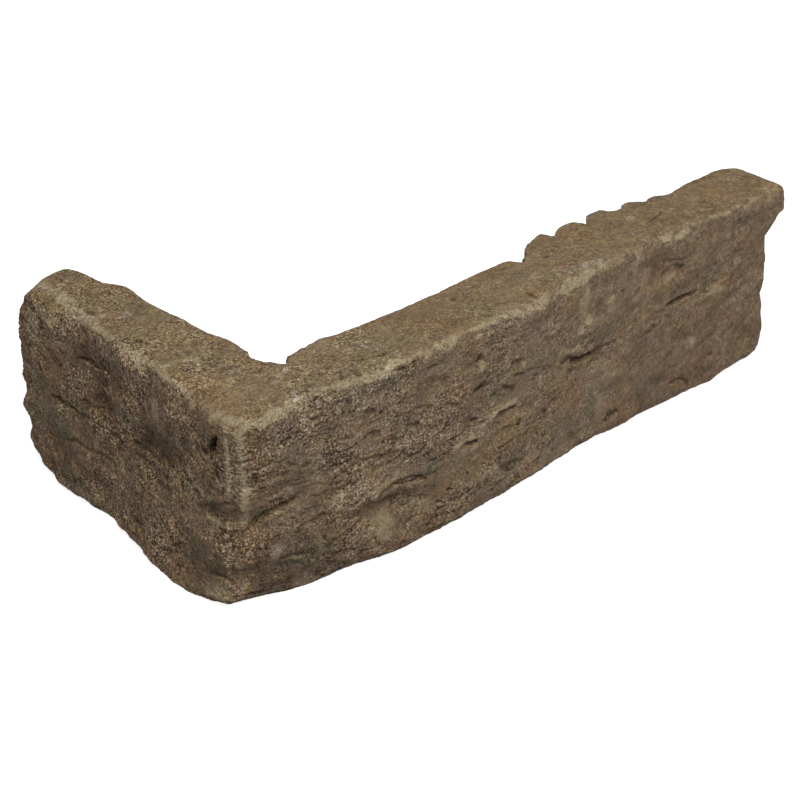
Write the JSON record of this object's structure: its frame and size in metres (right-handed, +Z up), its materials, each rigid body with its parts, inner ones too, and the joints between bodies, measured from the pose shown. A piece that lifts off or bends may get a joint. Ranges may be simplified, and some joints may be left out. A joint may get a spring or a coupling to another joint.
{
  "type": "ledgestone corner tile",
  "caption": "L-shaped split-face stone veneer corner tile that turns the outside corner of a wall, with flat back faces and a flat bed.",
  "frame": {"origin": "the wall's outside corner at bed level: where the two flat back faces meet, on the bed", "axes": "+X along the long leg away from the corner, +Y along the short leg away from the corner, +Z up; the split faces look towards -Y and -X"},
  "size_m": [0.2614, 0.131, 0.0641],
  "materials": {
    "stone": "rough split face, matt brown-grey with buff worn edges"
  },
  "bodies": {
    "root": {"corner_stone": "stone"}
  },
  "joints": []
}
